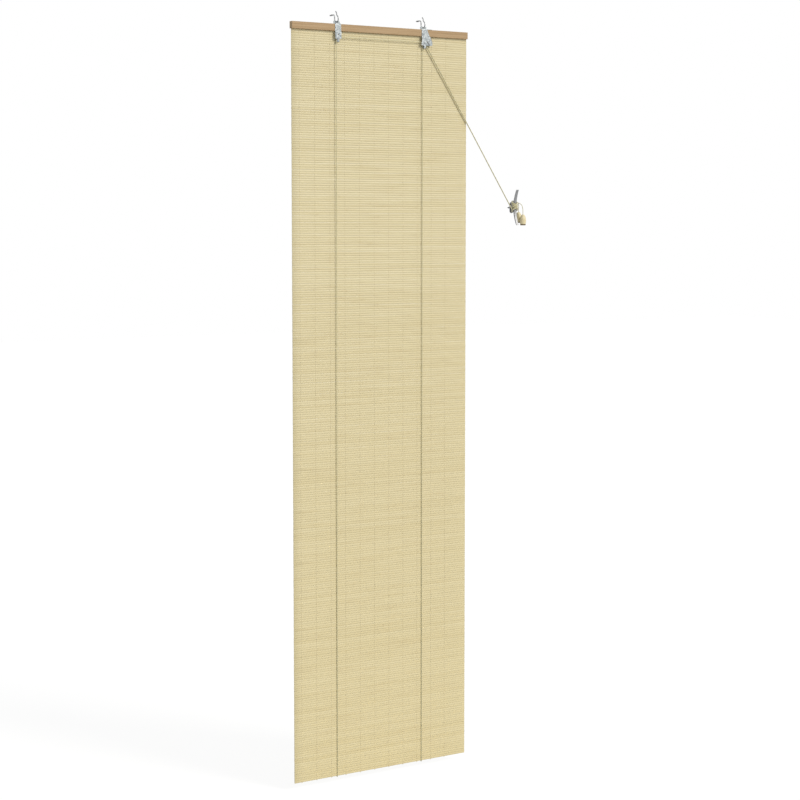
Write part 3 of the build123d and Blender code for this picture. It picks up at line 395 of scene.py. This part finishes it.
def tied_knot(name, place, size, thickness, paint):
    """A small overhand knot pulled tight, round its closed line."""
    line = bpy.data.curves.new(name, "CURVE")
    line.dimensions = "3D"
    spline = line.splines.new("NURBS")
    spline.points.add(KNOT_POINTS - 1)
    for index, control in enumerate(spline.points):
        turn = 2 * math.pi * index / KNOT_POINTS
        offset = Vector((math.sin(turn) + 2 * math.sin(2 * turn),
                         math.cos(turn) - 2 * math.cos(2 * turn),
                         -KNOT_DEPTH * math.sin(3 * turn)))
        control.co = (*(Vector(place) + offset * size / 3), 1.0)
    spline.order_u = 3
    spline.use_cyclic_u = True
    spline.resolution_u = 3
    line.bevel_depth = thickness / 2
    line.bevel_resolution = 2
    return meshed(name, line, paint)


pair_places = [MAT_X - BLIND_WIDTH / 2 + THREAD_EDGE + column * THREAD_SPACING
               for column in range(THREAD_PAIRS)]
for name, first_side in (("warp_thread_front.001", -1), ("warp_thread_back.001", 1)):
    line = bpy.data.curves.new(name, "CURVE")
    line.dimensions = "3D"
    for x in pair_places:
        x += first_side * THREAD_RADIUS * THREAD_APART
        points = []
        for index in range(reed_count):
            side = first_side if index % 2 == 0 else -first_side
            centre = RAIL_TOP - RAIL_HEIGHT - (index + 0.5) * pitch
            slant = side * THREAD_RADIUS * THREAD_SLANT
            reach = MAT_Y + side * THREAD_REACH
            points += [(x + slant, reach, centre + THREAD_SHOULDER),
                       (x - slant, reach, centre - THREAD_SHOULDER),
                       (x, MAT_Y, centre - pitch / 2)]
        spline = line.splines.new("POLY")
        spline.points.add(len(points) - 1)
        for control, point in zip(spline.points, points):
            control.co = (*point, 1.0)
    line.bevel_depth = THREAD_RADIUS
    line.bevel_resolution = 0
    line.use_fill_caps = True
    thread = meshed(name, line, cotton_thread)
    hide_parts("warp_threads")

for number, x in enumerate(pair_places, start=1):
    place = (x, MAT_Y - THREAD_KNOT_FRONT, RAIL_TOP - BLIND_DROP - THREAD_KNOT_DROP)
    knot = tied_knot("thread_knot_%d" % number, place, THREAD_KNOT_SIZE,
                     THREAD_KNOT_THICKNESS, cotton_thread)

# Head rail
# Two planed pine battens that clamp the mat's top, nailed together from the back. The
# grain runs along them, with fine darker lines and a few pores.
PINE_COLOURS = {0.28: "#8E7450", 0.5: "#A68A65", 0.72: "#B39A77"}
PINE_GRAIN_MM = (130, 2.4, 2.4)
PORE_MM = (9, 0.3, 0.3)
PORE_SHARE = 0.3

planed_pine, tree, shader, place = new_finish("planed_pine", 0.55)
grain = grain_of(tree, place, PINE_GRAIN_MM,
                 {"Detail": 4.0, "Roughness": 0.55, "Distortion": 0.4})
pores = grain_of(tree, place, PORE_MM, {"Detail": 2.0})
mixed = node(tree, "Mix", {0: PORE_SHARE}, {2: grain, 3: pores})
ramp = node(tree, "ValToRGB", links={"Fac": mixed.outputs[0]})
ramp.color_ramp.elements.new(0.5)
for stop, (position, code) in zip(ramp.color_ramp.elements, PINE_COLOURS.items()):
    stop.position, stop.color = position, colour(code)
tree.links.new(ramp.outputs["Color"], shader.inputs["Base Color"])
bump = node(tree, "Bump", {"Strength": 0.25, "Distance": 0.0002}, {"Height": pores})
tree.links.new(bump.outputs["Normal"], shader.inputs["Normal"])


def finish_nodes(paint, *names):
    """Give CAD nodes their finish."""
    for name in names:
        for material_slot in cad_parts[name].material_slots:
            material_slot.material = paint


finish_nodes(planed_pine, "front_rail_batten", "back_rail_batten")

# Brackets
# Each is folded from one strip of hot-dip galvanised sheet, 1 mm thick: a pale blue grey
# with the flat crystals of zinc, a few millimetres across, that shine each its own way.
SPANGLE_MM = 3.2
ZINC_COLOURS = {0.0: "#7F878B", 0.5: "#9DA4A6", 1.0: "#BDC2C3"}
ZINC_ROUGHNESS = (0.34, 0.56)

galvanised, tree, shader, place = new_finish("galvanised_sheet", 0.46, 0.8)
spangle = node(tree, "TexVoronoi", {"Scale": length_scale(SPANGLE_MM), "Randomness": 1.0},
               {"Vector": place})
cell = node(tree, "SeparateColor", links={0: spangle.outputs["Color"]})
ramp = node(tree, "ValToRGB", links={"Fac": cell.outputs[0]})
ramp.color_ramp.elements.new(0.5)
for stop, (position, code) in zip(ramp.color_ramp.elements, ZINC_COLOURS.items()):
    stop.position, stop.color = position, colour(code)
tree.links.new(ramp.outputs["Color"], shader.inputs["Base Color"])
dull = node(tree, "MapRange", {"To Min": ZINC_ROUGHNESS[0], "To Max": ZINC_ROUGHNESS[1]},
            {"Value": cell.outputs[1]})
tree.links.new(dull.outputs[0], shader.inputs["Roughness"])
bump = node(tree, "Bump", {"Strength": 0.2, "Distance": 0.0002},
            {"Height": cell.outputs[2]})
tree.links.new(bump.outputs["Normal"], shader.inputs["Normal"])
finish_nodes(galvanised, "left_bracket", "right_bracket")

# Nails, staples, axles, pulleys, the brake, hooks and the cleat's screw
# Drawn wire and turned steel, plated with zinc: bright, with faint uneven marks. The
# nails and staples are driven in from the back, and the axles are held in the brackets.
STEEL_COLOURS = {0.3: "#77797B", 0.7: "#A9ABAB"}
STEEL_ROUGHNESS = (0.26, 0.46)
MARK_MM = 1.1
MARK_RANGE = (0.3, 0.7)

plated_steel, tree, shader, place = new_finish("zinc_plated_steel", 0.34, 1.0)
marks = node(tree, "TexNoise", {"Scale": length_scale(MARK_MM), "Detail": 5.0},
             {"Vector": place})
ramp = node(tree, "ValToRGB", links={"Fac": marks.outputs["Fac"]})
for stop, (position, code) in zip(ramp.color_ramp.elements, STEEL_COLOURS.items()):
    stop.position, stop.color = position, colour(code)
tree.links.new(ramp.outputs["Color"], shader.inputs["Base Color"])
dull = node(tree, "MapRange", {"From Min": MARK_RANGE[0], "From Max": MARK_RANGE[1],
                               "To Min": STEEL_ROUGHNESS[0], "To Max": STEEL_ROUGHNESS[1]},
            {"Value": marks.outputs["Fac"]})
tree.links.new(dull.outputs[0], shader.inputs["Roughness"])
finish_nodes(plated_steel, "rail_nails", "cord_staples", "left_pulley_axle",
             "right_pulley_axle", "left_pulley", "right_pulley", "brake_pin", "brake_roller",
             "left_hook", "right_hook", "cleat_screw")

# Bracket screws
# Pan-head steel screws with a cross recess, one through each bracket's leg into the back
# batten. One is modelled in millimetres, brought to size and place, and copied.
SCREW_HEAD_RADIUS = 2.8
SCREW_HEAD_THICKNESS = 1.5
SCREW_HEAD_ROUNDING = 0.8
SCREW_HEAD_SIDES = 32
SCREW_SMOOTHING = 40  # degrees
SCREW_SHANK_RADIUS = 1.2
SCREW_SHANK_SIDES = 20
SCREW_SHANK_START = 1
SCREW_POINT = 1.6
SCREW_POINT_RADIUS = 0.2
RECESS_LENGTH = 2.9
RECESS_WIDTH = 0.6
RECESS_DEPTH = 0.9

lowest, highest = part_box("bracket_screws")
screw_length = (highest[1] - lowest[1]) * 1000
bpy.ops.object.select_all(action="DESELECT")
bpy.ops.mesh.primitive_cylinder_add(vertices=SCREW_HEAD_SIDES, radius=SCREW_HEAD_RADIUS,
                                    depth=SCREW_HEAD_THICKNESS,
                                    location=(0, 0, -SCREW_HEAD_THICKNESS / 2))
screw = bpy.context.object
bpy.ops.object.transform_apply(location=True, rotation=True, scale=True)
bpy.ops.object.mode_set(mode="EDIT")
bpy.ops.mesh.select_all(action="DESELECT")
bpy.ops.object.mode_set(mode="OBJECT")
for edge in screw.data.edges:
    edge.select = all(screw.data.vertices[v].co.z > -SCREW_HEAD_THICKNESS / 2
                      for v in edge.vertices)
bpy.ops.object.mode_set(mode="EDIT")
bpy.ops.mesh.select_mode(type="EDGE")
bpy.ops.mesh.bevel(offset=SCREW_HEAD_ROUNDING, segments=4)
bpy.ops.object.mode_set(mode="OBJECT")
for turn in (0, math.pi / 2):
    bpy.ops.mesh.primitive_cube_add(size=1, rotation=(0, 0, turn))
    cutter = bpy.context.object
    cutter.scale = (RECESS_LENGTH, RECESS_WIDTH, 2 * RECESS_DEPTH)
    bpy.ops.object.transform_apply(location=True, rotation=True, scale=True)
    recess = screw.modifiers.new("recess", "BOOLEAN")
    recess.operation = "DIFFERENCE"
    recess.solver = "EXACT"
    recess.object = cutter
    bpy.context.view_layer.objects.active = screw
    bpy.ops.object.modifier_apply(modifier="recess")
    bpy.data.objects.remove(cutter)
bpy.ops.mesh.primitive_cylinder_add(
    vertices=SCREW_SHANK_SIDES, radius=SCREW_SHANK_RADIUS,
    depth=screw_length - SCREW_POINT - SCREW_SHANK_START,
    location=(0, 0, -(screw_length - SCREW_POINT + SCREW_SHANK_START) / 2))
shank = bpy.context.object
bpy.ops.mesh.primitive_cone_add(
    vertices=SCREW_SHANK_SIDES, radius1=SCREW_POINT_RADIUS, radius2=SCREW_SHANK_RADIUS,
    depth=SCREW_POINT, location=(0, 0, -screw_length + SCREW_POINT / 2))
point = bpy.context.object
bpy.ops.object.select_all(action="DESELECT")
for part in (point, shank, screw):
    part.select_set(True)
bpy.context.view_layer.objects.active = screw
bpy.ops.object.join()
screw.scale = (0.001, 0.001, 0.001)
screw.rotation_euler = (-math.pi / 2, 0, 0)
screw.location = (lowest[0] + SCREW_HEAD_RADIUS / 1000, highest[1],
                  (lowest[2] + highest[2]) / 2)
bpy.ops.object.transform_apply(location=True, rotation=True, scale=True)
bpy.ops.object.shade_smooth_by_angle(angle=math.radians(SCREW_SMOOTHING))
screw.data.materials.clear()
screw.data.materials.append(plated_steel)
other = screw.copy()
other.data = screw.data.copy()
bpy.context.collection.objects.link(other)
bpy.ops.object.select_all(action="DESELECT")
other.select_set(True)
bpy.context.view_layer.objects.active = other
other.location = (highest[0] - lowest[0] - 2 * SCREW_HEAD_RADIUS / 1000, 0, 0)
bpy.ops.object.transform_apply(location=True, rotation=True, scale=True)
for piece, name in ((screw, "left_bracket_screw"), (other, "right_bracket_screw")):
    piece.name = name
    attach(piece, "blind")
    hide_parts("bracket_screws")

# Screw threads
# The ends of the hooks and of the cleat's screw, which are in the wall, carry a coarse
# wood-screw thread. Its sharp ridge is wound round the shank and thins out to the point.
RIDGE_PITCH = 0.0018
RIDGE_TURNS = 8
RIDGE_STEPS = 20
RIDGE_DEPTH = 0.0005
RIDGE_START = 0.0028
POINT_START = 0.0155
SCREW_TIP = 0.0200
WALL_SCREWS = {  # x, z and the shank's radius
    "left_hook_thread": (-0.1483, 0.0, 0.0016),
    "right_hook_thread": (0.1483, 0.0, 0.0016),
    "cleat_screw_thread": (0.4862, -0.5485, 0.0020),
}

for name, (screw_x, screw_z, shank_radius) in WALL_SCREWS.items():
    bpy.ops.object.select_all(action="DESELECT")
    bpy.ops.mesh.primitive_circle_add(vertices=3, radius=RIDGE_DEPTH,
                                      location=(shank_radius, 0, 0),
                                      rotation=(math.pi / 2, 0, 0))
    ridge = bpy.context.object
    ridge.rotation_euler.rotate_axis("Z", -math.pi / 2)
    bpy.ops.object.transform_apply(location=True, rotation=True, scale=True)
    winding = ridge.modifiers.new("winding", "SCREW")
    winding.axis = "Z"
    winding.screw_offset = RIDGE_PITCH
    winding.iterations = RIDGE_TURNS
    winding.steps = winding.render_steps = RIDGE_STEPS
    bpy.ops.object.modifier_apply(modifier="winding")
    bpy.ops.object.mode_set(mode="EDIT")
    bpy.ops.mesh.select_all(action="SELECT")
    bpy.ops.mesh.fill_holes(sides=3)
    bpy.ops.mesh.normals_make_consistent(inside=False)
    bpy.ops.object.mode_set(mode="OBJECT")
    for vertex in ridge.data.vertices:
        depth = RIDGE_START + vertex.co.z
        thin = min(1.0, (SCREW_TIP - depth) / (SCREW_TIP - POINT_START))
        vertex.co.x *= thin
        vertex.co.y *= thin
    ridge.rotation_euler = (-math.pi / 2, 0, 0)
    ridge.location = (screw_x, RIDGE_START, screw_z)
    bpy.ops.object.transform_apply(location=True, rotation=True, scale=True)
    ridge.name = name
    ridge.data.materials.clear()
    ridge.data.materials.append(plated_steel)
    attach(ridge, "blind")

# Cleat
# Cast in one piece from a zinc alloy and tumbled, so satin grey and faintly pitted. One
# screw through its post holds it to the wall.
CAST_COLOURS = {0.3: "#7F8082", 0.7: "#A3A4A6"}
PIT_MM = 1.6

cast_zinc, tree, shader, place = new_finish("cast_zinc", 0.48, 0.9)
pits = node(tree, "TexNoise", {"Scale": length_scale(PIT_MM), "Detail": 6.0},
            {"Vector": place})
ramp = node(tree, "ValToRGB", links={"Fac": pits.outputs["Fac"]})
for stop, (position, code) in zip(ramp.color_ramp.elements, CAST_COLOURS.items()):
    stop.position, stop.color = position, colour(code)
tree.links.new(ramp.outputs["Color"], shader.inputs["Base Color"])
bump = node(tree, "Bump", {"Strength": 0.3, "Distance": 0.0002},
            {"Height": pits.outputs["Fac"]})
tree.links.new(bump.outputs["Normal"], shader.inputs["Normal"])
finish_nodes(cast_zinc, "cleat")

# Lift cords
# Two braided cotton cords, 2 mm thick. Each is knotted above its staple, goes down the
# back, round the lowest reed, up the front and over the pulleys to the brake.
CORD_DIAMETER = 0.002
CORD_COLOURS = {0.2: "#A8A27C", 0.5: "#C6C09A", 0.8: "#DBD5B3"}
BRAID_SCALE = 144.3
LINT_SHARE = 0.45
CORD_LINT_MM = 0.625
ANCHOR_KNOT_SIZE = 0.0015
ANCHOR_KNOT_THICKNESS = 0.0016
ANCHOR_KNOT_Y = -0.0103
ANCHOR_KNOT_Z = -0.0316
LIFT_ROUTES = {
    "left": [
        (-0.16140, -0.01120, -0.03350), (-0.16140, -0.01120, -0.05350),
        (-0.15344, -0.01757, -2.21790), (-0.15340, -0.01760, -2.22990),
        (-0.15340, -0.02240, -2.22990), (-0.15340, -0.02243, -2.21790),
        (-0.15340, -0.02703, -0.07240), (-0.15340, -0.02705, -0.06440),
        (-0.14540, -0.02705, -0.06440), (0.14373, -0.02705, -0.06440),
        (0.14873, -0.02705, -0.06440), (0.15149, -0.02703, -0.06857),
        (0.15536, -0.026974, -0.074407)],
    "right": [
        (0.13520, -0.01120, -0.03350), (0.13520, -0.01120, -0.05350),
        (0.14316, -0.01757, -2.21790), (0.14320, -0.01760, -2.22990),
        (0.14320, -0.02240, -2.22990), (0.14320, -0.02243, -2.21790),
        (0.14320, -0.02493, -0.07240), (0.14320, -0.02495, -0.06440),
        (0.14873, -0.02495, -0.06440), (0.15149, -0.02493, -0.06857),
        (0.15536, -0.024874, -0.074407)],
}

# Braided cotton, dull, with fine slanting strands that shade each other. The strands are
# drawn about 4 mm apart, coarser than real ones, so that they show.
braided_cotton, tree, shader, place = new_finish("braided_cotton", 0.85)
strands = node(tree, "TexWave", {"Scale": BRAID_SCALE, "Distortion": 1.5,
                                 "Detail Scale": 2.0}, {"Vector": place},
               wave_type="BANDS", bands_direction="DIAGONAL")
lint = node(tree, "TexNoise", {"Scale": length_scale(CORD_LINT_MM), "Detail": 4.0},
            {"Vector": place})
blend = node(tree, "Mix", {0: LINT_SHARE},
             {2: strands.outputs["Fac"], 3: lint.outputs["Fac"]})
ramp = node(tree, "ValToRGB", links={"Fac": blend.outputs[0]})
ramp.color_ramp.elements.new(0.5)
for stop, (position, code) in zip(ramp.color_ramp.elements, CORD_COLOURS.items()):
    stop.position, stop.color = position, colour(code)
tree.links.new(ramp.outputs["Color"], shader.inputs["Base Color"])
shader.inputs["Sheen Weight"].default_value = 0.25
bump = node(tree, "Bump", {"Strength": 0.6, "Distance": 0.0003},
            {"Height": blend.outputs[0]})
tree.links.new(bump.outputs["Normal"], shader.inputs["Normal"])


def cord_curve(name, points, paint):
    """A cord along its route's points, and its length."""
    line = bpy.data.curves.new(name, "CURVE")
    line.dimensions = "3D"
    spline = line.splines.new("NURBS")
    spline.points.add(len(points) - 1)
    for control, point in zip(spline.points, points):
        control.co = (*point, 1.0)
    spline.order_u = 3
    spline.use_endpoint_u = True
    spline.resolution_u = 5
    line.materials.append(paint)
    cord = bpy.data.objects.new(name, line)
    bpy.context.collection.objects.link(cord)
    traced = bpy.data.meshes.new_from_object(cord)
    length = sum((traced.vertices[a].co - traced.vertices[b].co).length
                 for a, b in (edge.vertices for edge in traced.edges))
    bpy.data.meshes.remove(traced)
    line.bevel_depth = CORD_DIAMETER / 2
    line.bevel_resolution = 3
    line.use_fill_caps = True
    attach(cord, "blind")
    return cord, length


for side, route in LIFT_ROUTES.items():
    knot = tied_knot(side + "_anchor_knot", (route[0][0], ANCHOR_KNOT_Y, ANCHOR_KNOT_Z),
                     ANCHOR_KNOT_SIZE, ANCHOR_KNOT_THICKNESS, braided_cotton)
    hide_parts("anchor_knots")
    lift_cord, length = cord_curve(side + "_upper_cord", route, braided_cotton)
    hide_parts(side + "_lift_cord")

# Pull cords
# The same two cords below the brake, drawn tight to the cleat. Each is wound round both
# horns in figures of eight and hangs over the side into its acorn, where it is knotted.
ACORN_KNOT_SIZE = 0.0018
ACORN_KNOT_THICKNESS = 0.0018
BRAKE_LEAD = 0.012
CLEAT_LEADS = (0.014, 0.004)
CLEAT_CENTRE = (0.4847, -0.0200, -0.5445)
WINDING_STEPS = 16
WINDING_TURNS = 4.75
WINDING_START = 0.75 * math.pi
WINDING_LAYER = 0.0008
WINDING_SPREAD = 0.09
WINDING_UNEVEN = 2.6
CORD_ENDS = {
    "left": {
        "exit": (0.155360, -0.026974, -0.074407), "entry": (0.473500, -0.023300, -0.555000),
        "wide": 0.0104, "tall": 0.0112, "front": 0.0056, "back": 0.0066, "lean": 0.0012,
        "rise": 0.0058, "phase": 1.2,
        "tail": [(0.4990, -0.0262, -0.5350), (0.5038, -0.0318, -0.5409),
                 (0.5051, -0.0346, -0.5510), (0.5052, -0.0355, -0.5605),
                 (0.5052, -0.0355, -0.5770), (0.5052, -0.0355, -0.5880)],
        "knot": (0.5052, -0.0355, -0.5905)},
    "right": {
        "exit": (0.155360, -0.024874, -0.074407), "entry": (0.473500, -0.021200, -0.555000),
        "wide": 0.0086, "tall": 0.0100, "front": 0.0045, "back": 0.0058, "lean": -0.0010,
        "rise": -0.0056, "phase": -1.0,
        "tail": [(0.4972, -0.0165, -0.5325), (0.5030, -0.0148, -0.5350),
                 (0.5052, -0.0135, -0.5412), (0.5052, -0.0130, -0.5505),
                 (0.5052, -0.0130, -0.5690), (0.5052, -0.0130, -0.5805)],
        "knot": (0.5052, -0.0130, -0.5830)},
}

for side, end in CORD_ENDS.items():
    start = Vector(end["exit"])
    entry = Vector(end["entry"])
    along = (entry - start).normalized()
    points = [start, start + along * BRAKE_LEAD]
    points += [entry - along * lead for lead in CLEAT_LEADS]
    steps = int(WINDING_STEPS * WINDING_TURNS)
    for step in range(1, steps):
        lap = step / WINDING_STEPS
        turn = WINDING_START - 2 * math.pi * lap
        growth = 1 + WINDING_SPREAD * math.sin(WINDING_UNEVEN * lap + end["phase"])
        depth = math.cos(2 * turn)
        reach = (end["front"] if depth > 0 else end["back"]) + WINDING_LAYER * lap
        points.append(Vector(CLEAT_CENTRE) + Vector((
            end["wide"] * growth * math.sin(2 * turn) + end["lean"] * step / steps,
            -reach * depth,
            -end["tall"] * growth * math.sin(turn)
            + end["rise"] * math.sin(2 * math.pi * step / steps))))
    points += [Vector(point) for point in end["tail"]]
    knot = tied_knot(side + "_acorn_knot", end["knot"], ACORN_KNOT_SIZE,
                     ACORN_KNOT_THICKNESS, braided_cotton)
    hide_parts("acorn_knots")
    cord, length = cord_curve(side + "_cord", points, braided_cotton)
    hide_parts(side + "_pull_cord", side + "_cord_tail")
    if side == "left":
        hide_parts("cord_winding")

# Acorns
# Turned from pale beech and waxed, hollow below, with the grain up and down. The lowest few
# millimetres round the hollow's rim are painted dark brown as painted shade, which stands for
# the shaded dark mouth that each shows.
BEECH_COLOURS = {0.3: "#C6B78D", 0.5: "#D9CDA6", 0.7: "#E5DCBC"}
BEECH_GRAIN_MM = (1.6, 1.6, 22)
# The dark brown below is painted shade for the shaded mouth of the hollow, not a stain.
MOUTH_SHADE_COLOUR = "#5B4A30"
MOUTH_SHADE_HEIGHT = 0.0042
MOUTH_SHADE_EDGE = 0.8
ACORN_LOWER_ENDS = {"left": -0.6030, "right": -0.5955}

for side, lower_end in ACORN_LOWER_ENDS.items():
    turned_beech, tree, shader, place = new_finish("turned_beech_" + side, 0.45)
    grain = grain_of(tree, place, BEECH_GRAIN_MM, {"Detail": 4.0})
    ramp = node(tree, "ValToRGB", links={"Fac": grain})
    ramp.color_ramp.elements.new(0.5)
    for stop, (position, code) in zip(ramp.color_ramp.elements, BEECH_COLOURS.items()):
        stop.position, stop.color = position, colour(code)
    height = node(tree, "SeparateXYZ", links={0: place})
    # Painted shade: the lowest part of each acorn is coloured dark brown for the hollow's
    # shaded mouth.
    mouth_shade = node(tree, "MapRange", {"From Min": lower_end + MOUTH_SHADE_HEIGHT,
                                    "From Max": lower_end + MOUTH_SHADE_HEIGHT * MOUTH_SHADE_EDGE},
                 {"Value": height.outputs["Z"]})
    painted_mouth = node(tree, "Mix", {7: colour(MOUTH_SHADE_COLOUR)},
                   {0: mouth_shade.outputs[0], 6: ramp.outputs["Color"]}, data_type="RGBA")
    tree.links.new(painted_mouth.outputs[2], shader.inputs["Base Color"])
    bump = node(tree, "Bump", {"Strength": 0.2, "Distance": 0.0002}, {"Height": grain})
    tree.links.new(bump.outputs["Normal"], shader.inputs["Normal"])
    finish_nodes(turned_beech, side + "_acorn")
